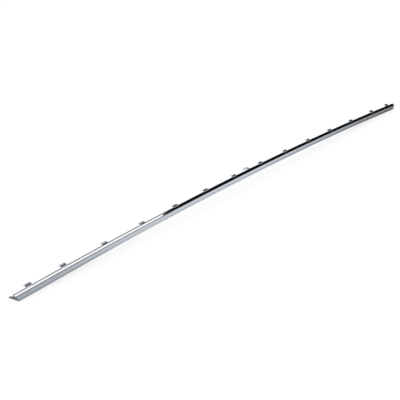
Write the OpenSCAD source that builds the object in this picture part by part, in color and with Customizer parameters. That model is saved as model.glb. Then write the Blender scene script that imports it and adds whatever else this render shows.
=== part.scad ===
// Chrome-plated bumper trim: one long moulding with a sharp ridge along its front,
// bowed so that its middle stands higher than its ends. Snap clips rise from the rear
// of the crown, a locating hook stands among them near the middle, and a wall at
// each end reaches back behind the face as a foot.
// X runs along the strip, -Y is the side that is seen on the car, +Z is up.

/* [Strip] */
// Length of the crown's rear edge from end to end
strip_length = 1485; // [900:1:1800]
// Rise of the middle above the two ends
arch_rise = 16; // [8:0.5:40]
// How much shorter the bottom edge is than the crown at each end
end_mitre = 7; // [0:0.5:14]

/* [Section] */
// Height of the front face from its bottom edge to the ridge
face_height = 10.4; // [8:0.1:16]
// How far the bottom edge stands forward of the ridge
face_lean = 0.2; // [0:0.1:2.5]
// Depth of the crown from the ridge back to the rear lip
crown_depth = 4.7; // [4:0.1:9]
// Fall of the crown from the rear lip down to the ridge
crown_fall = 2; // [0.5:0.1:4]
// Thickness of the face and the crown
skin_thickness = 2.2; // [1.5:0.1:2.8]
// Height of the lip along the rear of the crown
lip_height = 1.2; // [0.6:0.1:2]
// Thickness of the lip at its foot
lip_thickness = 1.8; // [1.6:0.1:2.4]
// How far the lip's front leans back between its foot and its top
lip_lean = 1; // [0:0.1:1.2]
// Depth of the return flange that runs back from the face's bottom edge
flange_depth = 9.5; // [6:0.5:14]
// Thickness of the return flange
flange_thickness = 1.8; // [1.2:0.1:2.6]

/* [End walls] */
// Depth of an end wall from the front bottom edge to its rear tip
end_wall_depth = 24; // [18:0.5:32]
// Height of an end wall at its rear tip
end_wall_tip = 2.4; // [1.6:0.1:5]
// Thickness of an end wall along the strip
end_wall_thickness = 2.4; // [1.6:0.1:4]

/* [Clips] */
// Spacing of the inner clips along the strip
clip_pitch = 109; // [80:1:140]
// Spacing of the two outer clips that stand before each end clip
outer_clip_pitch = 116.5; // [90:0.5:130]
// Spacing from the outer clips to the end clip
end_clip_pitch = 91; // [60:1:110]
// Distance from the end of the crown to the middle of the end clip
end_clip_margin = 38.5; // [20:0.5:45]
// Length of a clip along the strip
clip_length = 15; // [10:0.5:20]
// Height of an inner clip above the crown's rear edge
clip_height = 3.4; // [3.2:0.1:6]
// Height of the end clip and of the one before it
tall_clip_height = 5.1; // [3.2:0.1:8]
// How far a clip's wall stands behind the front of the lip
clip_setback = 0.2; // [0.1:0.1:0.6]
// Radius of the shoulder where a clip's wall turns back into its plate
clip_shoulder = 2.6; // [2.2:0.1:3]
// Depth of a clip from the front of its wall to its rear edge
clip_depth = 5.9; // [5:0.1:9]
// Thickness of a clip's plate
clip_thickness = 1.2; // [1:0.1:1.6]
// Drop of the catch below the plate along a clip's rear edge
catch_drop = 0.9; // [0.4:0.1:1.2]

/* [Locating hook] */
// Distance of the hook from the middle of the strip
hook_offset = 9; // [0:0.5:20]
// Width of the hook along the strip
hook_width = 8; // [5:0.5:14]
// Thickness of the hook
hook_thickness = 1.8; // [1.4:0.1:2.4]
// How far the hook's top lies below the lip's top
hook_drop = 0.2; // [0.1:0.1:0.8]
// Straight reach of the hook behind the lip
hook_reach = 10; // [5:0.5:14]
// Outside radius of the bend that turns its tip down
hook_bend = 6; // [4:0.5:8]

/* [Stiffening webs] */
// Thickness of the web that stands inside the channel under each clip
web_thickness = 1.5; // [1:0.1:2.5]
// How far a web's rear edge stands in from the flange's rear edge
web_setback = 2; // [1:0.5:4]

/* [Hidden] */
$fn = 48;

// Section points in the strip's own plane, [y, z], from the front bottom edge
ridge = [face_lean, face_height];
crown_rear = ridge + [crown_depth, crown_fall];
lip_rear = crown_rear[0] + lip_thickness;
lip_top = crown_rear[1] + lip_height;

// Unit runs along the face and the crown, and the skin measured across them
face_run = norm(ridge);
crown_run = norm(crown_rear - ridge);
face_inset = skin_thickness * face_run / face_height;
crown_inset = skin_thickness * crown_run / crown_depth;
face_slope = face_lean / face_height;
crown_slope = crown_fall / crown_depth;

// Where the inside of the face meets the inside of the crown
inner_y = (face_inset + face_slope * (face_height - crown_inset - crown_slope * face_lean))
    / (1 - face_slope * crown_slope);
inner_ridge = [inner_y, face_height - crown_inset + crown_slope * (inner_y - face_lean)];
crown_under_rear = face_height - crown_inset + crown_slope * (lip_rear - face_lean);

// The bow is a true arc, set out on the underside between its two end corners
bottom_half = strip_length / 2 - end_mitre;
arc_radius = (bottom_half * bottom_half + arch_rise * arch_rise) / (2 * arch_rise);
arc_centre_z = arch_rise - arc_radius;
crown_radius = arc_radius + crown_rear[1];
sweep_angle = 2 * asin(strip_length / 2 / crown_radius) + 0.2;
crown_end_z = arc_centre_z + sqrt(crown_radius * crown_radius - strip_length * strip_length / 4);

// Places of the clips along the crown, set out from one end towards the middle
end_clip_station = strip_length / 2 - end_clip_margin;
second_clip_station = end_clip_station - end_clip_pitch;
third_clip_station = second_clip_station - outer_clip_pitch;
inner_clips = floor((third_clip_station - clip_length) / clip_pitch);
low_clip_stations = concat(
    [for (i = [0 : inner_clips - 1]) (i + 0.5) * clip_pitch],
    [third_clip_station]
);
tall_clip_stations = [second_clip_station, end_clip_station];
end_wall_station = bottom_half - end_wall_thickness / 2;

// How far a detail is sunk into the wall that it grows from
overlap = 0.4;
clip_root = 1;

// Steps that the sweep is drawn with, close enough that each lies on the arc
arc_steps = 72;

// Moulded wall of the strip: return flange, face, crown and rear lip, as [y, z]
function wall_outline() = [
    [0, 0],
    [flange_depth, 0],
    [flange_depth, flange_thickness],
    [face_inset + face_slope * flange_thickness, flange_thickness],
    inner_ridge,
    [lip_rear, crown_under_rear],
    [lip_rear, lip_top],
    [crown_rear[0] + lip_lean, lip_top],
    crown_rear,
    ridge
];

// Web inside the channel, as [y, z]
function web_outline() = [
    [face_inset - overlap, flange_thickness - overlap],
    [flange_depth - web_setback, flange_thickness - overlap],
    [flange_depth - web_setback, flange_thickness],
    [lip_rear - overlap, crown_under_rear + overlap],
    inner_ridge + [-overlap, overlap]
];

// End wall: closes the channel's lower half and reaches back as a foot, as [y, z]
function end_wall_outline() = [
    [face_inset - overlap, 0],
    [end_wall_depth, 0],
    [end_wall_depth, end_wall_tip],
    inner_ridge,
    [face_inset - overlap, inner_ridge[1]]
];

// Sweeps an outline given as [y, z] along the whole arc
module along_arc(outline) {
    translate([0, 0, arc_centre_z])
        rotate([-90, -90, 0])
            rotate([0, 0, -sweep_angle / 2])
                rotate_extrude(angle = sweep_angle, $fn = round(arc_steps * 360 / sweep_angle))
                    polygon([for (p = outline) [arc_radius + p[1], p[0]]]);
}

// Puts a straight detail on the arc, a given distance from the middle
module at_station(distance) {
    translate([0, 0, arc_centre_z])
        rotate([0, asin(distance / crown_radius), 0])
            translate([0, 0, arc_radius])
                children();
}

// Extrudes what is drawn as [y, z] to a length along the strip, centred
module across(length) {
    rotate([90, 0, 90])
        linear_extrude(length, center = true)
            children();
}

// Swept wall with both ends cut to the mitre
module swept_wall() {
    rise_per_mm = end_mitre / crown_end_z;
    top = arch_rise + lip_top + 1;
    low = bottom_half - rise_per_mm;
    high = bottom_half + rise_per_mm * top;
    intersection() {
        along_arc(wall_outline());
        translate([0, flange_depth + 1, 0])
            rotate([90, 0, 0])
                linear_extrude(flange_depth + 2)
                    polygon([[-low, -1], [low, -1], [high, top], [-high, top]]);
    }
}

// Snap clip: a wall on the lip that turns back over a round shoulder into a flat
// plate, with a catch along the underside of the plate's rear edge
module clip(height) {
    front = crown_rear[0] + clip_setback;
    top = crown_rear[1] + height;
    rear = front + clip_depth;
    shoulder_centre = [front + clip_shoulder, top - clip_shoulder];
    under = top - clip_thickness;
    across(clip_length)
        union() {
            intersection() {
                difference() {
                    translate(shoulder_centre) circle(r = clip_shoulder);
                    translate(shoulder_centre) circle(r = clip_shoulder - clip_thickness);
                }
                translate([front - 1, shoulder_centre[1]])
                    square([clip_shoulder + 1, clip_shoulder + 1]);
            }
            translate([front, crown_rear[1] - clip_root])
                square([clip_thickness, shoulder_centre[1] - crown_rear[1] + clip_root]);
            translate([shoulder_centre[0], under])
                square([rear - shoulder_centre[0], clip_thickness]);
            translate([rear - clip_thickness, under - catch_drop])
                square([clip_thickness, catch_drop + overlap]);
        }
}

// Locating hook: a tongue behind the lip whose tip turns down
module locating_hook() {
    top = lip_top - hook_drop;
    root = lip_rear - overlap;
    bend_centre = [lip_rear + hook_reach, top - hook_bend];
    across(hook_width)
        union() {
            translate([root, top - hook_thickness])
                square([bend_centre[0] - root, hook_thickness]);
            translate(bend_centre)
                intersection() {
                    difference() {
                        circle(r = hook_bend);
                        circle(r = hook_bend - hook_thickness);
                    }
                    square(hook_bend + 1);
                }
        }
}

// A clip at each station of one half, with the web that stands under it
module clip_row(side, stations, height) {
    for (station = stations)
        at_station(side * station) {
            clip(height);
            across(web_thickness) polygon(web_outline());
        }
}

module trim_moulding() {
    color([0.78, 0.8, 0.84])
        translate([0, -end_wall_depth / 2, 0])
            union() {
                swept_wall();
                for (side = [-1, 1]) {
                    clip_row(side, low_clip_stations, clip_height);
                    clip_row(side, tall_clip_stations, tall_clip_height);
                    at_station(side * end_wall_station)
                        across(end_wall_thickness) polygon(end_wall_outline());
                }
                at_station(hook_offset) locating_hook();
            }
}

trim_moulding();
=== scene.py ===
"""Chrome-plated bumper trim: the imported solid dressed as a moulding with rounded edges."""
import math

import bmesh
import bpy
from bpy.props import FloatProperty, FloatVectorProperty, PointerProperty
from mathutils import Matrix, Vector


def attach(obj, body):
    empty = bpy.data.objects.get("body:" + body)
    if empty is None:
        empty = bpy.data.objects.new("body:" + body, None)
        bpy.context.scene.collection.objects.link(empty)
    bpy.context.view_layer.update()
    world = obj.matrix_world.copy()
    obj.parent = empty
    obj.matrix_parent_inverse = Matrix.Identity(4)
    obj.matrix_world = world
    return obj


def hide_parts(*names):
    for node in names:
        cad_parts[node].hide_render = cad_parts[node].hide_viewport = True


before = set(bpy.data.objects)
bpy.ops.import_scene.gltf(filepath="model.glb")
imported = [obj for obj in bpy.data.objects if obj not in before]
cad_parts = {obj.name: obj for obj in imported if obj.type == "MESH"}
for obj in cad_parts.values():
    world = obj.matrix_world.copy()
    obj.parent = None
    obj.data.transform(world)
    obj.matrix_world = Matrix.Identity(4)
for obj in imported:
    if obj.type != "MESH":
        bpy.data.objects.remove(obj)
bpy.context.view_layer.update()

bl_info = {
    "name": "Bumper trim moulding",
    "version": (1, 0, 0),
    "blender": (4, 5, 0),
    "location": "View3D > Sidebar > Trim",
    "description": "Builds a bowed, chrome-plated bumper trim with its clips, hook and end feet",
    "category": "Object",
}

MM = 0.001
NODE = "trim_moulding"
BODY = "root"
PLATING = "bright_plating"
# The inner faces' finish: thinner satin plating, darkened as painted shade inside the channel
THINNER_AND_SHADED_PLATING = "thin_plating"

# How far a detail is sunk into the wall that it grows from, and a clip into the crown
OVERLAP = 0.4 * MM
CLIP_ROOT = 1.0 * MM
# Tilt of a clip's wall from upright, in degrees, and the least height of its upright part
WALL_TILT = 25
LEAST_WALL = 0.1 * MM
# An end wall's underside stands this far above the moulded wall's, so that they never lie flush
FOOT_LIFT = 0.02 * MM
# Shares of the face's height at which its swell has points
SWELL_PARTS = (0.72, 0.6, 0.48, 0.36, 0.24)
# Share of the shorter edge beside it that a rounded corner may use up
CORNER_SHARE = 0.46
# Distance from a rounded corner to the point that holds the flat, and the least that is worth one
HOLD = 0.12 * MM
LEAST_HOLD = 0.01 * MM
# Radii of the fillets in the channel, of the lip's top and of its foot on the crown
CHANNEL_FILLET = 0.6 * MM
LIP_TOP_ROUND = 0.2 * MM
LIP_FOOT_FILLET = 0.15 * MM
# The bottom front edge is this many times rounder than the other outside edges
FRONT_EDGE_SHARE = 3
# The thin plating starts this far above the underside, and ends this far above the crown's inside
INNER_FROM = 0.1 * MM
INNER_ABOVE = 0.2 * MM
# Widths of the bevels
WALL_BEVEL = 0.2 * MM
CLIP_BEVEL = 0.15 * MM
WEB_BEVEL = 0.12 * MM
FOOT_BEVEL = 0.3 * MM
HOOK_BEVEL = 0.3 * MM
BEVEL_SEGMENTS = 3
# Edges sharper than this many degrees are rounded, and stay creased under smooth shading
SHARP_ANGLE = 50.0
# The same for webs and end walls, whose corners are blunter
BLUNT_ANGLE = 30.0
# Steps that the curves are drawn with
CORNER_STEPS = 4
SHOULDER_STEPS = 10
HOOK_STEPS = 12
WALL_STEPS = 120
# Names of the two geometry trees
LAY_TREE = "Lay on the bow"
STAND_TREE = "Stand along the bow"
# Second colours, where the plating lies a little thicker or thinner
PLATING_SHIFT = (0.80, 0.815, 0.85)
THIN_SHIFT = (0.50, 0.50, 0.52)


# Sizes and colours that a user would change

def size(name, default_mm, description):
    """A length property that is given in millimetres and kept in metres."""
    return FloatProperty(
        name=name, default=default_mm * MM, description=description, min=0.0,
        subtype="DISTANCE", unit="LENGTH", precision=4,
    )


class TrimSizes(bpy.types.PropertyGroup):
    length: size("Length", 1485, "Length of the crown's rear edge")
    rise: size("Rise", 16, "Rise of the middle above the two ends")
    mitre: size("End mitre", 7, "How much shorter the bottom edge is than the crown at each end")
    face_height: size("Face height", 10.4, "Height of the front face up to the ridge")
    face_lean: size("Face lean", 0.2, "How far the bottom edge stands forward of the ridge")
    face_crown: size("Face swell", 0.12, "How far the middle of the face stands out of flat")
    crown_depth: size("Crown depth", 4.7, "Depth of the crown behind the ridge")
    crown_fall: size("Crown fall", 2.0, "Fall of the crown from the lip to the ridge")
    skin: size("Skin", 2.2, "Thickness of the face and the crown")
    lip_height: size("Lip height", 1.2, "Height of the lip behind the crown")
    lip_thickness: size("Lip thickness", 1.8, "Thickness of the lip at its foot")
    lip_lean: size("Lip lean", 1.0, "How far the lip's front leans back")
    flange_depth: size("Flange depth", 9.5, "Depth of the return flange")
    flange_thickness: size("Flange thickness", 1.8, "Thickness of the return flange")
    foot_depth: size("Foot depth", 24, "Depth of an end wall to its rear tip")
    foot_tip: size("Foot tip", 2.4, "Height of an end wall at its rear tip")
    foot_thickness: size("Foot thickness", 2.4, "Thickness of an end wall")
    ridge_round: size("Ridge round", 1.5, "Radius of the ridge between crown and face")
    edge_round: size("Edge round", 0.25, "Radius of the moulding's other outside edges")


class ClipSizes(bpy.types.PropertyGroup):
    pitch: size("Pitch", 109, "Spacing of the inner clips")
    outer_pitch: size("Outer pitch", 116.5, "Spacing of the two outer clips")
    end_pitch: size("End pitch", 91, "Spacing from the outer clips to the end clip")
    end_margin: size("End margin", 38.5, "Distance from the crown's end to the end clip")
    length: size("Length", 15, "Length of a clip along the strip")
    height: size("Height", 3.4, "Height of an inner clip above the crown's rear edge")
    tall_height: size("Tall height", 5.1, "Height of the two clips nearest to an end")
    setback: size("Setback", 0.2, "How far a clip stands behind the lip's front")
    shoulder: size("Shoulder", 2.6, "Radius of the shoulder between wall and plate")
    lean: size("Lean", 0.5, "How far the shoulder stands back from the foot of the wall")
    depth: size("Depth", 5.9, "Depth of a clip")
    thickness: size("Thickness", 1.2, "Thickness of a clip")
    catch_drop: size("Catch drop", 0.9, "Drop of the catch under the plate's rear edge")
    web_thickness: size("Web thickness", 1.5, "Thickness of the web under a clip")
    web_setback: size("Web setback", 2, "How far a web stands in from the flange's rear edge")
    hook_offset: size("Hook offset", 9, "Distance of the locating hook from the middle")
    hook_drop: size("Hook drop", 0.2, "How far the hook's top lies below the lip's top")
    hook_width: size("Hook width", 8, "Width of the locating hook")
    hook_thickness: size("Hook thickness", 1.8, "Thickness of the locating hook")
    hook_reach: size("Hook reach", 10, "Straight reach of the hook behind the lip")
    hook_bend: size("Hook bend", 6, "Outside radius of the hook's bent tip")


class FinishValues(bpy.types.PropertyGroup):
    plating: FloatVectorProperty(
        name="Plating", default=(0.83, 0.84, 0.86), subtype="COLOR", min=0.0, max=1.0,
        description="Colour of the bright plating",
    )
    # Darker than the bright plating: thinner plating, and painted shade inside the channel
    thin: FloatVectorProperty(
        name="Thin plating", default=(0.60, 0.61, 0.63), subtype="COLOR", min=0.0, max=1.0,
        description="Colour of the thinner plating inside the channel",
    )
    polish: FloatProperty(
        name="Roughness", default=0.008, min=0.0, max=1.0, subtype="FACTOR",
        description="Roughness of the polished plating",
    )


# Shader and geometry node helpers

class Socket:
    """A node socket on which Python's operators add Math nodes."""

    def __init__(self, tree, link):
        self.tree, self.link = tree, link

    def math(self, operation, *others):
        """The result of a Math node on this socket and the others."""
        node = self.tree.nodes.new("ShaderNodeMath")
        node.operation = operation
        for slot, value in zip(node.inputs, (self, *others)):
            connect(self.tree, value, slot)
        return Socket(self.tree, node.outputs[0])

    def __add__(self, other):
        return self.math("ADD", other)

    def __sub__(self, other):
        return self.math("SUBTRACT", other)

    def __mul__(self, other):
        return self.math("MULTIPLY", other)

    def __truediv__(self, other):
        return self.math("DIVIDE", other)

    def __pow__(self, other):
        return self.math("POWER", other)

    def __neg__(self):
        return self.math("MULTIPLY", -1.0)

    def __rsub__(self, other):
        return (-self).math("ADD", other)

    def above(self, edge, softness):
        """0 below the edge and 1 above it, with a smooth step as wide as the softness."""
        return node(
            self.tree, "ShaderNodeMapRange", {"interpolation_type": "SMOOTHSTEP", "clamp": True},
            {"Value": self, "From Min": edge - softness / 2, "From Max": edge + softness / 2},
        )["Result"]

    def below(self, edge, softness):
        """1 below the edge and 0 above it, with the same smooth step."""
        return 1.0 - self.above(edge, softness)


def connect(tree, value, slot):
    """Links a socket to an input, or sets the input to a plain value."""
    if isinstance(value, Socket):
        tree.links.new(value.link, slot)
    elif value is not None:
        slot.default_value = value


def node(tree, kind, settings=None, values=None):
    """Adds a node, sets its settings first and its inputs after, and returns its outputs."""
    made = tree.nodes.new(kind)
    for name, value in (settings or {}).items():
        setattr(made, name, value)
    for name, value in (values or {}).items():
        connect(tree, value, made.inputs[name])
    return {out.name: Socket(tree, out) for out in made.outputs if out.enabled}


def mixed(tree, factor, first, second):
    """A colour mixed from two by a factor."""
    made = tree.nodes.new("ShaderNodeMix")
    made.data_type = "RGBA"
    inputs = {slot.identifier: slot for slot in made.inputs}
    connect(tree, factor, inputs["Factor_Float"])
    for name, value in (("A_Color", first), ("B_Color", second)):
        connect(tree, value if isinstance(value, Socket) else (*value, 1.0), inputs[name])
    outputs = {slot.identifier: slot for slot in made.outputs}
    return Socket(tree, outputs["Result_Color"])


# Materials

def noise(tree, place, scale, detail, roughness=0.5, along=1.0):
    """A noise pattern on object coordinates. Below 1, along draws it out along the strip."""
    mapped = node(
        tree, "ShaderNodeMapping", {"vector_type": "POINT"},
        {"Vector": place, "Scale": (along, 1.0, 1.0)},
    )
    return node(
        tree, "ShaderNodeTexNoise", {"noise_dimensions": "3D"},
        {"Vector": mapped["Vector"], "Scale": scale, "Detail": detail, "Roughness": roughness},
    )["Fac"]


def new_material(name):
    """An empty material, its node tree and its object coordinates."""
    material = bpy.data.materials.new(name)
    material.use_nodes = True
    tree = material.node_tree
    tree.nodes.clear()
    place = node(tree, "ShaderNodeTexCoord")["Object"]
    return material, tree, place


def finish_material(tree, values):
    """Ends a material in one Principled shader with these socket values."""
    shader = node(tree, "ShaderNodeBsdfPrincipled", None, values)["BSDF"]
    output = tree.nodes.new("ShaderNodeOutputMaterial")
    tree.links.new(shader.link, output.inputs["Surface"])


def make_bright_plating(values):
    """Mirror-bright chrome: faint flow waves, a fine polish haze and a few hairlines."""
    material, tree, place = new_material(PLATING)
    haze = noise(tree, place, scale=38.0, detail=4.0, roughness=0.55, along=0.25)
    fibre = noise(tree, place, scale=900.0, detail=2.0, roughness=0.4, along=0.02)
    hairline = fibre.above(0.66, 0.10)
    peel = noise(tree, place, scale=260.0, detail=2.0, roughness=0.4, along=0.35)
    wave = noise(tree, place, scale=24.0, detail=1.0, roughness=0.3, along=0.2)
    tint = noise(tree, place, scale=11.0, detail=2.0, roughness=0.5, along=0.3)
    colour = mixed(tree, tint, tuple(values.plating), PLATING_SHIFT)
    relief = wave * 0.8 + peel * 0.14 - hairline * 0.05
    bump = node(
        tree, "ShaderNodeBump", None, {"Strength": 0.05, "Distance": 0.00012, "Height": relief}
    )["Normal"]
    finish_material(tree, {
        "Base Color": colour,
        "Metallic": 1.0,
        "Roughness": haze * 0.02 + hairline * 0.04 + values.polish,
        "Normal": bump,
    })
    return material


def make_thinner_and_shaded_plating(values):
    """Satin plating inside the channel, where less metal settles in the corners, and darker there
    as painted shade.
    """
    material, tree, place = new_material(THINNER_AND_SHADED_PLATING)
    cloud = noise(tree, place, scale=55.0, detail=4.0, roughness=0.6, along=0.3)
    grain = noise(tree, place, scale=1400.0, detail=3.0, roughness=0.6)
    colour = mixed(tree, cloud.above(0.5, 0.5), tuple(values.thin), THIN_SHIFT)
    bump = node(
        tree, "ShaderNodeBump", None,
        {"Strength": 0.3, "Distance": 0.00006, "Height": grain},
    )["Normal"]
    finish_material(tree, {
        "Base Color": colour,
        "Metallic": 1.0,
        "Roughness": cloud * 0.16 + 0.16,
        "Normal": bump,
    })
    return material


def material(name):
    """A finish by name, made on its first use."""
    if name not in bpy.data.materials:
        makers = {PLATING: make_bright_plating, THINNER_AND_SHADED_PLATING: make_thinner_and_shaded_plating}
        makers[name](bpy.context.scene.trim_finish)
    return bpy.data.materials[name]


# The bow

class Bow:
    """The true arc that the strip follows, from the sizes in the panel."""

    def __init__(self, sizes):
        bottom_half = sizes.length / 2 - sizes.mitre
        self.radius = (bottom_half ** 2 + sizes.rise ** 2) / (2 * sizes.rise)
        self.centre_z = sizes.rise - self.radius
        self.crown_z = sizes.face_height + sizes.crown_fall
        self.crown_radius = self.radius + self.crown_z
        self.bottom_half = bottom_half
        self.offset_y = -sizes.foot_depth / 2


def group_input(tree, name, kind):
    """Adds a named input to a geometry tree."""
    return tree.interface.new_socket(name=name, in_out="INPUT", socket_type=kind)


def new_tree(name):
    """A geometry tree with inputs for the bow and the two finishes."""
    tree = bpy.data.node_groups.new(name, "GeometryNodeTree")
    group_input(tree, "Geometry", "NodeSocketGeometry")
    for label in ("Radius", "Centre Height", "Crown Radius", "Offset"):
        group_input(tree, label, "NodeSocketFloat").default_value = 1.0
    group_input(tree, "Outer Finish", "NodeSocketMaterial")
    group_input(tree, "Inner Finish", "NodeSocketMaterial")
    tree.interface.new_socket(name="Geometry", in_out="OUTPUT", socket_type="NodeSocketGeometry")
    return tree


def finish_tree(tree, given, geometry):
    """Realizes what is instanced and gives the outer and inner faces their finishes."""
    whole = node(tree, "GeometryNodeRealizeInstances", None, {"Geometry": geometry})["Geometry"]
    outer = node(
        tree, "GeometryNodeSetMaterial", None,
        {"Geometry": whole, "Material": given["Outer Finish"]},
    )["Geometry"]
    inner = node(
        tree, "GeometryNodeInputNamedAttribute", {"data_type": "BOOLEAN"}, {"Name": "inner"}
    )["Attribute"]
    both = node(
        tree, "GeometryNodeSetMaterial", None,
        {"Geometry": outer, "Selection": inner, "Material": given["Inner Finish"]},
    )["Geometry"]
    output = tree.nodes.new("NodeGroupOutput")
    tree.links.new(both.link, output.inputs["Geometry"])


def lay_tree():
    """A tree that lays a straight mesh on the bow: x runs along it and z stands out from it."""
    tree = new_tree(LAY_TREE)
    given = node(tree, "NodeGroupInput")
    place = node(tree, "GeometryNodeInputPosition")["Position"]
    axes = node(tree, "ShaderNodeSeparateXYZ", None, {"Vector": place})
    sine = axes["X"] / given["Crown Radius"]
    cosine = (1.0 - sine * sine) ** 0.5
    reach = axes["Z"] + given["Radius"]
    bent = node(tree, "ShaderNodeCombineXYZ", None, {
        "X": reach * sine,
        "Y": axes["Y"] + given["Offset"],
        "Z": reach * cosine + given["Centre Height"],
    })["Vector"]
    laid = node(
        tree, "GeometryNodeSetPosition", None, {"Geometry": given["Geometry"], "Position": bent}
    )["Geometry"]
    finish_tree(tree, given, laid)
    return tree


def stand_tree():
    """A tree that stands a detail on the bow at each point, upright to the crown there."""
    tree = new_tree(STAND_TREE)
    group_input(tree, "Detail", "NodeSocketObject")
    given = node(tree, "NodeGroupInput")
    place = node(tree, "GeometryNodeInputPosition")["Position"]
    axes = node(tree, "ShaderNodeSeparateXYZ", None, {"Vector": place})
    sine = axes["X"] / given["Crown Radius"]
    angle = sine.math("ARCSINE")
    cosine = (1.0 - sine * sine) ** 0.5
    bent = node(tree, "ShaderNodeCombineXYZ", None, {
        "X": sine * given["Radius"],
        "Y": given["Offset"],
        "Z": cosine * given["Radius"] + given["Centre Height"],
    })["Vector"]
    turn = node(tree, "ShaderNodeCombineXYZ", None, {"X": 0.0, "Y": angle, "Z": 0.0})["Vector"]
    kept = tree.nodes.new("GeometryNodeCaptureAttribute")
    item = kept.capture_items.new("VECTOR", "Turn")
    connect(tree, given["Geometry"], kept.inputs["Geometry"])
    connect(tree, turn, kept.inputs[item.name])
    laid = node(tree, "GeometryNodeSetPosition", None, {
        "Geometry": Socket(tree, kept.outputs["Geometry"]), "Position": bent,
    })["Geometry"]
    detail = node(
        tree, "GeometryNodeObjectInfo", {"transform_space": "ORIGINAL"}, {"Object": given["Detail"]}
    )["Geometry"]
    turned = node(
        tree, "FunctionNodeEulerToRotation", None, {"Euler": Socket(tree, kept.outputs[item.name])}
    )["Rotation"]
    stood = node(tree, "GeometryNodeInstanceOnPoints", None, {
        "Points": laid, "Instance": detail, "Rotation": turned,
    })["Instances"]
    finish_tree(tree, given, stood)
    return tree


def run_tree(obj, tree, bow, extra=None):
    """Runs a geometry tree on an object and returns the plain mesh that it makes."""
    modifier = obj.modifiers.new(tree.name, "NODES")
    modifier.node_group = tree
    values = {
        "Radius": bow.radius,
        "Centre Height": bow.centre_z,
        "Crown Radius": bow.crown_radius,
        "Offset": bow.offset_y,
        "Outer Finish": material(PLATING),
        "Inner Finish": material(THINNER_AND_SHADED_PLATING),
        **(extra or {}),
    }
    for slot in tree.interface.items_tree:
        if slot.in_out == "INPUT" and slot.name in values:
            modifier[slot.identifier] = values[slot.name]
    bpy.context.view_layer.update()
    graph = bpy.context.evaluated_depsgraph_get()
    return bpy.data.meshes.new_from_object(obj.evaluated_get(graph), depsgraph=graph)


# Sections and meshes

def rounded(points, radii):
    """Rounds the corners of an outline. Each arc is held by a point on the flat beside it."""
    outline = []
    count = len(points)
    for index, corner in enumerate(points):
        radius = radii[index]
        corner = Vector(corner)
        before = Vector(points[index - 1]) - corner
        after = Vector(points[(index + 1) % count]) - corner
        if radius <= 0:
            outline.append(tuple(corner))
            continue
        before_run, after_run = before.normalized(), after.normalized()
        half_angle = before_run.angle(after_run) / 2
        cut = radius / math.tan(half_angle)
        limit = CORNER_SHARE * min(before.length, after.length)
        if cut > limit:
            radius *= limit / cut
            cut = limit
        centre = corner + (before_run + after_run).normalized() * (radius / math.sin(half_angle))
        start = corner + before_run * cut - centre
        end = corner + after_run * cut - centre
        hold = min(HOLD, limit - cut)
        if hold > LEAST_HOLD:
            outline.append(tuple(corner + before_run * (cut + hold)))
        for step in range(CORNER_STEPS + 1):
            part = step / CORNER_STEPS
            turn = start.angle(end)
            weight = (math.sin((1 - part) * turn), math.sin(part * turn))
            outline.append(tuple(centre + (start * weight[0] + end * weight[1]) / math.sin(turn)))
        if hold > LEAST_HOLD:
            outline.append(tuple(corner + after_run * (cut + hold)))
    return outline


def extruded(name, outline, stations, inner=None, shape=None):
    """A closed mesh: an outline of (y, z) swept straight along x through the stations."""
    mesh = bmesh.new()
    rings = []
    for x in stations:
        ring = []
        for y, z in outline:
            spot = shape(x, y, z) if shape else (x, y, z)
            ring.append(mesh.verts.new(spot))
        rings.append(ring)
    count = len(outline)
    marks = mesh.faces.layers.bool.new("inner")
    for first, second in zip(rings, rings[1:]):
        for index in range(count):
            following = (index + 1) % count
            face = mesh.faces.new(
                (first[index], second[index], second[following], first[following])
            )
            face.smooth = True
            if inner:
                middle = (Vector(outline[index]) + Vector(outline[following])) / 2
                face[marks] = bool(inner(*middle))
    mesh.faces.new(rings[0])
    mesh.faces.new(list(reversed(rings[-1])))
    bmesh.ops.recalc_face_normals(mesh, faces=mesh.faces)
    data = bpy.data.meshes.new(name)
    mesh.to_mesh(data)
    mesh.free()
    obj = bpy.data.objects.new(name, data)
    bpy.context.scene.collection.objects.link(obj)
    return obj


def soften(obj, width, angle=SHARP_ANGLE):
    """Rounds the edges that are sharper than the angle, with flat faces left flat."""
    bevel = obj.modifiers.new("Edges", "BEVEL")
    bevel.width = width
    bevel.segments = BEVEL_SEGMENTS
    bevel.limit_method = "ANGLE"
    bevel.angle_limit = math.radians(angle)
    bevel.harden_normals = True
    return obj


def keep_mesh(source, name, mesh):
    """Puts a finished mesh on a piece of its own that rides on the part's body."""
    piece = bpy.data.objects.new(name, mesh)
    mesh.name = name
    bpy.context.scene.collection.objects.link(piece)
    bpy.data.objects.remove(source)
    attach(piece, BODY)
    return piece


def tree_named(name, maker):
    """A geometry tree by name, made on its first use."""
    return bpy.data.node_groups[name] if name in bpy.data.node_groups else maker()


def stand_along(name, detail, stations, bow):
    """Stands a detail at stations along the bow, as one plain mesh."""
    points = bpy.data.meshes.new(name + "_stations")
    points.from_pydata([(x, 0.0, 0.0) for x in stations], [], [])
    source = bpy.data.objects.new(name + "_stations", points)
    bpy.context.scene.collection.objects.link(source)
    mesh = run_tree(source, tree_named(STAND_TREE, stand_tree), bow, {"Detail": detail})
    piece = keep_mesh(source, name, mesh)
    bpy.data.objects.remove(detail)
    return piece


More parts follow.
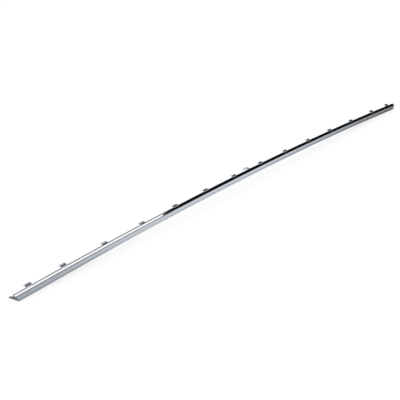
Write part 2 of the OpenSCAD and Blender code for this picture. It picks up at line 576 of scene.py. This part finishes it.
def section(sizes):
    """Corner points of the moulded wall as (y, z), with what the details need of them."""
    ridge = Vector((sizes.face_lean, sizes.face_height))
    rear = ridge + Vector((sizes.crown_depth, sizes.crown_fall))
    lip_rear = rear.x + sizes.lip_thickness
    face_inset = sizes.skin * ridge.length / sizes.face_height
    crown_inset = sizes.skin * (rear - ridge).length / sizes.crown_depth
    face_slope = sizes.face_lean / sizes.face_height
    crown_slope = sizes.crown_fall / sizes.crown_depth

    def under_crown(y):
        """Height of the crown's underside at this depth."""
        return sizes.face_height - crown_inset + crown_slope * (y - sizes.face_lean)

    inner_y = (face_inset + face_slope * under_crown(0.0)) / (1 - face_slope * crown_slope)
    return {
        "ridge": ridge,
        "rear": rear,
        "lip_rear": lip_rear,
        "lip_top": rear.y + sizes.lip_height,
        "face_inset": face_inset,
        "inner_ridge": Vector((inner_y, under_crown(inner_y))),
        "under_rear": under_crown(lip_rear),
        "inner_foot": face_inset + face_slope * sizes.flange_thickness,
    }


def arc_turns(first, last, steps):
    """Angles in radians from the first to the last, both given in degrees."""
    return [math.radians(first + (last - first) * step / steps) for step in range(steps + 1)]


def arc_points(centre, radius, turns):
    """Points of an arc at these angles, as (y, z)."""
    return [
        (centre[0] + radius * math.cos(turn), centre[1] + radius * math.sin(turn))
        for turn in turns
    ]


def clip_outline(at, clips, height):
    """Outline of a clip as (y, z): wall, round shoulder, flat plate and catch."""
    front = at["rear"].x + clips.setback
    top = at["rear"].y + height
    rear = front + clips.depth
    under = top - clips.thickness
    centre = (front + clips.shoulder + clips.lean, top - clips.shoulder)
    root = at["rear"].y - CLIP_ROOT
    lean = math.radians(WALL_TILT)
    touch = centre[1] + clips.shoulder * math.sin(lean)
    wall_top = touch - (centre[0] - clips.shoulder * math.cos(lean) - front) / math.tan(lean)
    turns = arc_turns(180 - WALL_TILT, 90, SHOULDER_STEPS)
    return [
        (front, root),
        (front, max(wall_top, root + LEAST_WALL)),
        *arc_points(centre, clips.shoulder, turns),
        (rear, top),
        (rear, under - clips.catch_drop),
        (rear - clips.thickness * 0.5, under - clips.catch_drop),
        (rear - clips.thickness, under),
        *arc_points(centre, clips.shoulder - clips.thickness, reversed(turns)),
        (centre[0] - clips.shoulder + clips.thickness, centre[1]),
        (front + clips.thickness, root),
    ]


def clip_stations(sizes, clips):
    """Places of the low and of the tall clips along the crown, both sides of the middle."""
    end = sizes.length / 2 - clips.end_margin
    second = end - clips.end_pitch
    third = second - clips.outer_pitch
    inner = math.floor((third - clips.length) / clips.pitch + 1e-6)
    low = [(index + 0.5) * clips.pitch for index in range(inner)] + [third]
    halves = (low, (second, end))
    return [[side * station for side in (-1, 1) for station in half] for half in halves]


def flatten_normals(piece):
    """Leaves flat faces flat under smooth shading, and lets only the bevels turn."""
    for face in piece.data.polygons:
        face.use_smooth = True
    piece.data.set_sharp_from_angle(angle=math.radians(SHARP_ANGLE))
    weighted = piece.modifiers.new("Flat faces", "WEIGHTED_NORMAL")
    weighted.mode = "FACE_AREA"
    weighted.keep_sharp = True


# Operators

class TRIM_OT_wall(bpy.types.Operator):
    """Sweeps the moulded wall with its rounded ridge along the bow"""
    bl_idname = "trim.wall"
    bl_label = "Moulded wall"

    def execute(self, context):
        sizes = context.scene.trim_sizes
        at = section(sizes)
        bow = Bow(sizes)
        swell = sizes.face_crown
        ridge = at["ridge"]
        face_points = [
            (ridge.x * part - swell * 4 * part * (1 - part), ridge.y * part)
            for part in SWELL_PARTS
        ]
        corners = [
            ((0.0, 0.0), sizes.edge_round * FRONT_EDGE_SHARE),
            ((sizes.flange_depth, 0.0), sizes.edge_round),
            ((sizes.flange_depth, sizes.flange_thickness), sizes.edge_round),
            ((at["inner_foot"], sizes.flange_thickness), CHANNEL_FILLET),
            (tuple(at["inner_ridge"]), CHANNEL_FILLET),
            ((at["lip_rear"], at["under_rear"]), sizes.edge_round),
            ((at["lip_rear"], at["lip_top"]), sizes.edge_round),
            ((at["rear"].x + sizes.lip_lean, at["lip_top"]), LIP_TOP_ROUND),
            (tuple(at["rear"]), LIP_FOOT_FILLET),
            (tuple(ridge), sizes.ridge_round),
            *((point, 0.0) for point in face_points),
        ]
        outline = rounded([point for point, _ in corners], [radius for _, radius in corners])
        half = sizes.length / 2
        stations = [half * (2 * index / WALL_STEPS - 1) for index in range(WALL_STEPS + 1)]
        share = sizes.mitre / half / bow.crown_z

        def mitred(x, y, z):
            return (x * (1 - share * (bow.crown_z - z)), y, z)

        def is_inner(y, z):
            behind_face = y > at["face_inset"] / 2
            return behind_face and INNER_FROM < z < at["under_rear"] + INNER_ABOVE

        source = soften(extruded("wall_source", outline, stations, is_inner, mitred), WALL_BEVEL)
        mesh = run_tree(source, tree_named(LAY_TREE, lay_tree), bow)
        wall = keep_mesh(source, "trim_wall", mesh)
        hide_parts(NODE)
        return {"FINISHED"}


class TRIM_OT_clips(bpy.types.Operator):
    """Stands the snap clips and the webs under them along the bow"""
    bl_idname = "trim.clips"
    bl_label = "Clips and webs"

    def execute(self, context):
        sizes, clips = context.scene.trim_sizes, context.scene.trim_clips
        at = section(sizes)
        bow = Bow(sizes)
        low, tall = clip_stations(sizes, clips)
        rows = (
            ("low_clips", low, clips.height),
            ("tall_clips", tall, clips.tall_height),
        )
        half = clips.length / 2
        for name, stations, height in rows:
            source = extruded(name + "_source", clip_outline(at, clips, height), (-half, half))
            flatten_normals(stand_along(name, soften(source, CLIP_BEVEL), stations, bow))

        web_rear = sizes.flange_depth - clips.web_setback
        web_outline = [
            (at["face_inset"] - OVERLAP, sizes.flange_thickness - OVERLAP),
            (web_rear, sizes.flange_thickness - OVERLAP),
            (web_rear, sizes.flange_thickness),
            (at["lip_rear"] - OVERLAP, at["under_rear"] + OVERLAP),
            (at["inner_ridge"].x - OVERLAP, at["inner_ridge"].y + OVERLAP),
        ]
        half = clips.web_thickness / 2
        source = extruded("web_source", web_outline, (-half, half), lambda y, z: True)
        web = soften(source, WEB_BEVEL, BLUNT_ANGLE)
        flatten_normals(stand_along("clip_webs", web, low + tall, bow))
        return {"FINISHED"}


class TRIM_OT_ends(bpy.types.Operator):
    """Stands the end walls with their feet, and the locating hook"""
    bl_idname = "trim.ends"
    bl_label = "End walls and hook"

    def execute(self, context):
        sizes, clips = context.scene.trim_sizes, context.scene.trim_clips
        at = section(sizes)
        bow = Bow(sizes)
        outline = [
            (at["face_inset"] - OVERLAP, FOOT_LIFT),
            (sizes.foot_depth, FOOT_LIFT),
            (sizes.foot_depth, sizes.foot_tip),
            tuple(at["inner_ridge"]),
            (at["face_inset"] - OVERLAP, at["inner_ridge"].y),
        ]
        half = sizes.foot_thickness / 2
        station = bow.bottom_half - half
        source = extruded("foot_source", outline, (-half, half))
        foot = soften(source, FOOT_BEVEL, BLUNT_ANGLE)
        flatten_normals(stand_along("end_walls", foot, (-station, station), bow))

        lip_top = at["lip_top"] - clips.hook_drop
        centre = (at["lip_rear"] + clips.hook_reach, lip_top - clips.hook_bend)
        turns = arc_turns(90, 0, HOOK_STEPS)
        start = at["lip_rear"] - OVERLAP
        outline = [
            (start, lip_top - clips.hook_thickness),
            (start, lip_top),
            *arc_points(centre, clips.hook_bend, turns),
            *arc_points(centre, clips.hook_bend - clips.hook_thickness, reversed(turns)),
        ]
        half = clips.hook_width / 2
        hook = soften(extruded("hook_source", outline, (-half, half)), HOOK_BEVEL)
        flatten_normals(stand_along("locating_hook", hook, (clips.hook_offset,), bow))
        return {"FINISHED"}


# The studio. Each edge is (place, softness) for Socket.above and Socket.below.

CAMERA_PLACE = (-1.97038, -1.22051, 0.80221)
CAMERA_HEADING = 0.59755
CAMERA_DIP = 0.34979
CAMERA_LENS = 100.228
CAMERA_SENSOR = 36.0
CAMERA_CLIP = (0.05, 60.0)

BLACK = (0.0, 0.0, 0.0)
WHITE = (1.0, 1.0, 1.0)

# The floor. A spot's level is about the height on the face, above the strip's underside,
# at which the camera sees the spot mirrored.
FLOOR_REACH = 9.0
FLOOR_LIT = (0.97, 0.97, 0.97)
FLOOR_SEEN = (0.30, 0.30, 0.30)
FLOOR_GLOW = 0.72
# Tones that the metal sees on the floor from left to right, a painted reflection for the face
FLOOR_AT_LEFT = (0.485, 0.52, 0.55)
FLOOR_AT_MIDDLE = (0.715, 0.762, 0.80)
FLOOR_AT_RIGHT = (0.30, 0.312, 0.32)
FLOOR_PAST_ENDS = (0.245, 0.255, 0.26)
LEFT_TO_MIDDLE = (-0.50, 0.6)
MIDDLE_TO_RIGHT = (0.40, 0.8)
STRIP_ENDS = (0.739, 0.006)
# Depth of the front edge, slope of the view, and the bow's height over the floor
FRONT_EDGE = 0.012
SIGHT_SLOPE = 0.6
BOW_RISE = 0.016
BOW_FALL = 0.0292
# Painted shadow on the floor near the strip: the lower part of the face mirrors it and grows darker
# to the right, by these steps
FACE_SHADE = 0.97
FACE_SHADE_STEPS = (((-0.3, 0.3), 0.15), ((0.1, 0.4), 0.20), ((0.55, 0.2), 0.17))
SHADE_TOP = (0.0045, 0.005)
# Painted contact shadow on the floor, which the face mirrors as a dark line along its bottom edge,
# near both ends
CONTACT_SHADOW_TOP = (0.0008, 0.002)
CONTACT_SHADOW_ENDS = (0.47, 0.25)
CONTACT_SHADOW_DEPTH = 0.5
# A painted dark band on the floor, which the lip mirrors as a dark line among the clips at the
# right
PAINTED_BAND_BY_CLIPS = (0.02, 0.02, 0.02)
CLIP_LEVEL = (0.0120, 0.0008)
ABOVE_CLIPS = (0.0134, 0.0008)
CLIPS_FROM = (0.55, 0.10)
LAST_CLIP_FROM = (0.745, 0.01)
LAST_CLIP_SHIFT = 0.02
CLIP_LEVEL_DEPTH = 0.9

# The room. A height is the z of a direction, and a heading is its angle in radians from the
# strip's own line, positive towards the rear. The front flag is drawn back where it is low,
# and raised where the crown faces the viewer.
FLAG_FOOT = (0.04, 0.05)
FLAG_TOP = (0.668, 0.0015)
FLAG_RAISE = 0.22
RAISED_TO = (0.05, 0.04)
FLAG_SIDE = (0.30, 0.08)
LOW_FLAG_TOP = (0.26, 0.06)
LOW_FLAG_REACH = 0.22
REAR_FLAG_FROM = (1.20, 0.10)
REAR_FLAG_FOOT = (0.05, 0.05)
REAR_FLAG_TOP = (0.50, 0.05)
CEILING_FROM = (0.60, 0.10)
CEILING_LIFT = 0.16
CEILING_LIFTED_FROM = (0.30, 0.10)
CEILING = (1.13, 1.135, 1.135)
WALL_FOOT = (0.50, 0.51, 0.53)
WALL = (0.34, 0.35, 0.37)
WALL_FROM = (0.15, 0.10)

# Tones of the flags, by what mirrors them
CLOTH_GREY = (0.050, 0.054, 0.056)
CLOTH_BLACK = (0.002, 0.003, 0.004)
CLOTH_BLACK_FROM = (-0.52, 0.16)
LEFT_CLIPS = (0.003, 0.003, 0.004)
LEFT_CLIPS_TO = (-0.80, 0.02)
MIDDLE_CLIPS = (0.29, 0.295, 0.30)
MIDDLE_CLIPS_FROM = (-0.712, 0.02)
MIDDLE_CLIPS_TO = (-0.523, 0.02)
CLIP_WALLS_TOP = (0.32, 0.06)
LIP = (0.16, 0.165, 0.17)
LIP_LINE = (0.513, 0.21)
LIP_SPREAD = (0.035, 0.02)
LIP_TO = (-0.556, 0.012)
CLIP_TOPS = (0.12, 0.125, 0.13)
CLIP_TOPS_FROM = (0.36, 0.06)
RIDGE = (0.30, 0.305, 0.31)
RIDGE_SLOPE = 0.171
RIDGE_FROM = (0.680, 0.01)
RIDGE_TO = (0.742, 0.01)
RIDGE_SIDE = (0.06, 0.04)


def floor_in_metal(tree, place):
    """The floor's colour as the metal shows it, by the place along the strip and the level: painted
    reflection tones, with painted shadow near the strip.
    """
    axes = node(tree, "ShaderNodeSeparateXYZ", None, {"Vector": place})
    along = axes["X"]
    from_middle = along.math("ABSOLUTE")
    underside = BOW_RISE - along * along * BOW_FALL
    level = (axes["Y"].math("ABSOLUTE") - FRONT_EDGE) * SIGHT_SLOPE - underside

    # Painted shadow on the floor near the strip, seen only in the metal
    shade = FACE_SHADE
    for edge, drop in FACE_SHADE_STEPS:
        shade = shade - along.above(*edge) * drop
    # The painted contact shadow under the strip, towards both ends
    contact_shadow = level.below(*CONTACT_SHADOW_TOP) * from_middle.above(*CONTACT_SHADOW_ENDS) * CONTACT_SHADOW_DEPTH
    lightness = 1.0 - level.below(*SHADE_TOP) * (1.0 - shade) - contact_shadow

    left_half = mixed(tree, along.above(*LEFT_TO_MIDDLE), FLOOR_AT_LEFT, FLOOR_AT_MIDDLE)
    whole = mixed(tree, along.above(*MIDDLE_TO_RIGHT), left_half, FLOOR_AT_RIGHT)
    shaded = mixed(tree, lightness, BLACK, whole)
    with_ends = mixed(tree, from_middle.above(*STRIP_ENDS), shaded, FLOOR_PAST_ENDS)

    # A painted dark band on the floor beside the right clips, seen only in the metal
    farther = level - along.above(*LAST_CLIP_FROM) * LAST_CLIP_SHIFT
    by_clips = level.above(*CLIP_LEVEL) - farther.above(*ABOVE_CLIPS)
    painted_band_right = by_clips * along.above(*CLIPS_FROM) * CLIP_LEVEL_DEPTH
    return mixed(tree, painted_band_right, with_ends, PAINTED_BAND_BY_CLIPS)


def make_floor():
    """A pale floor that keeps the shadow, and shows in the metal as a painted reflection: grey
    tones along the strip, with painted shadow near it.
    """
    mesh = bpy.data.meshes.new("floor")
    near, far = -FLOOR_REACH, FLOOR_REACH
    corners = [(near, near, 0), (far, near, 0), (far, far, 0), (near, far, 0)]
    mesh.from_pydata(corners, [], [(0, 1, 2, 3)])
    floor = bpy.data.objects.new("floor", mesh)
    bpy.context.scene.collection.objects.link(floor)
    surface, tree, place = new_material("studio_floor")
    rays = node(tree, "ShaderNodeLightPath")
    grain = noise(tree, place, scale=3.0, detail=2.0)
    lit = mixed(tree, rays["Is Glossy Ray"], FLOOR_LIT, floor_in_metal(tree, place))
    finish_material(tree, {
        "Base Color": mixed(tree, rays["Is Camera Ray"], lit, FLOOR_SEEN),
        "Roughness": grain * 0.1 + 0.85,
        "Specular IOR Level": 0.0,
        "Emission Color": mixed(tree, rays["Is Camera Ray"], BLACK, WHITE),
        "Emission Strength": FLOOR_GLOW,
    })
    mesh.materials.append(surface)


def flag_tone(tree, height, heading):
    """The dark flags' colour: black for the crown, greyer for the lip, the ridge and the clips."""
    tone = mixed(tree, heading.above(*CLOTH_BLACK_FROM), CLOTH_GREY, CLOTH_BLACK)
    tone = mixed(tree, heading.above(*LEFT_CLIPS_TO), LEFT_CLIPS, tone)

    among = height.below(*CLIP_WALLS_TOP) * heading.above(*MIDDLE_CLIPS_FROM)
    tone = mixed(tree, among * heading.below(*MIDDLE_CLIPS_TO), tone, MIDDLE_CLIPS)

    slope, rise = LIP_LINE
    from_line = (height + heading * slope - rise).math("ABSOLUTE")
    on_lip = from_line.below(*LIP_SPREAD) * heading.below(*LIP_TO)
    tone = mixed(tree, on_lip, tone, LIP)

    tone = mixed(tree, heading.above(*CLIP_TOPS_FROM), tone, CLIP_TOPS)

    tilted = height - heading * RIDGE_SLOPE
    stretch = tilted.above(*RIDGE_FROM) - tilted.above(*RIDGE_TO)
    return mixed(tree, stretch * heading.below(*RIDGE_SIDE), tone, RIDGE)


def room_in_metal(tree, height, heading):
    """The room as the metal shows it: white ceiling, grey wall and two dark flags."""
    raised = heading.below(*RAISED_TO) * FLAG_RAISE
    upright = height.above(*FLAG_FOOT) * (height - raised).below(*FLAG_TOP)
    drawn_back = heading - height.below(*LOW_FLAG_TOP) * LOW_FLAG_REACH
    front_flag = upright * drawn_back.below(*FLAG_SIDE)
    behind = heading.above(*REAR_FLAG_FROM)
    rear_flag = behind * height.above(*REAR_FLAG_FOOT) * height.below(*REAR_FLAG_TOP)

    lifted = height - heading.above(*CEILING_LIFTED_FROM) * CEILING_LIFT
    wall = mixed(tree, height.above(*WALL_FROM), WALL_FOOT, WALL)
    room = mixed(tree, lifted.above(*CEILING_FROM), wall, CEILING)
    dark = front_flag.math("MAXIMUM", rear_flag)
    return mixed(tree, dark, room, flag_tone(tree, height, heading))


def make_world():
    """A white studio, which shows in the metal as a room with dark flags."""
    world = bpy.data.worlds.new("studio")
    world.use_nodes = True
    tree = world.node_tree
    tree.nodes.clear()
    direction = node(tree, "ShaderNodeTexCoord")["Generated"]
    axes = node(tree, "ShaderNodeSeparateXYZ", None, {"Vector": direction})
    heading = axes["Y"].math("ARCTAN2", axes["X"].math("ABSOLUTE"))
    rays = node(tree, "ShaderNodeLightPath")
    mirrored = room_in_metal(tree, axes["Z"], heading)
    colour = mixed(tree, rays["Is Glossy Ray"], WHITE, mirrored)
    light = node(tree, "ShaderNodeBackground", None, {"Color": colour, "Strength": 1.0})
    output = tree.nodes.new("ShaderNodeOutputWorld")
    tree.links.new(light["Background"].link, output.inputs["Surface"])
    bpy.context.scene.world = world


def make_camera():
    """The photograph's viewpoint."""
    data = bpy.data.cameras.new("camera")
    data.lens = CAMERA_LENS
    data.sensor_width = CAMERA_SENSOR
    camera = bpy.data.objects.new("camera", data)
    bpy.context.scene.collection.objects.link(camera)
    flat = math.cos(CAMERA_DIP)
    aim = Vector((
        math.cos(CAMERA_HEADING) * flat,
        math.sin(CAMERA_HEADING) * flat,
        -math.sin(CAMERA_DIP),
    ))
    camera.location = CAMERA_PLACE
    camera.rotation_mode = "QUATERNION"
    camera.rotation_quaternion = aim.to_track_quat("-Z", "Y")
    data.clip_start, data.clip_end = CAMERA_CLIP
    bpy.context.scene.camera = camera


class TRIM_OT_stage(bpy.types.Operator):
    """Makes the floor, the studio light and the camera"""
    bl_idname = "trim.stage"
    bl_label = "Stage"

    def execute(self, context):
        make_floor()
        make_world()
        make_camera()
        context.scene.view_settings.view_transform = "Standard"
        return {"FINISHED"}


class TRIM_PT_panel(bpy.types.Panel):
    bl_label = "Bumper trim"
    bl_idname = "TRIM_PT_panel"
    bl_space_type = "VIEW_3D"
    bl_region_type = "UI"
    bl_category = "Trim"

    def draw(self, context):
        scene = context.scene
        for group in (scene.trim_sizes, scene.trim_clips, scene.trim_finish):
            box = self.layout.box()
            for name in group.__annotations__:
                box.prop(group, name)
        for operator in OPERATORS:
            self.layout.operator(operator.bl_idname)


OPERATORS = (TRIM_OT_wall, TRIM_OT_clips, TRIM_OT_ends, TRIM_OT_stage)
GROUPS = {"trim_sizes": TrimSizes, "trim_clips": ClipSizes, "trim_finish": FinishValues}


def register():
    for group in (*GROUPS.values(), *OPERATORS, TRIM_PT_panel):
        bpy.utils.register_class(group)
    for name, group in GROUPS.items():
        setattr(bpy.types.Scene, name, PointerProperty(type=group))


def unregister():
    for name in GROUPS:
        delattr(bpy.types.Scene, name)
    for group in reversed((*GROUPS.values(), *OPERATORS, TRIM_PT_panel)):
        bpy.utils.unregister_class(group)


def main():
    register()
    bpy.ops.trim.wall()
    bpy.ops.trim.clips()
    bpy.ops.trim.ends()
    bpy.ops.trim.stage()


if __name__ == "__main__":
    main()
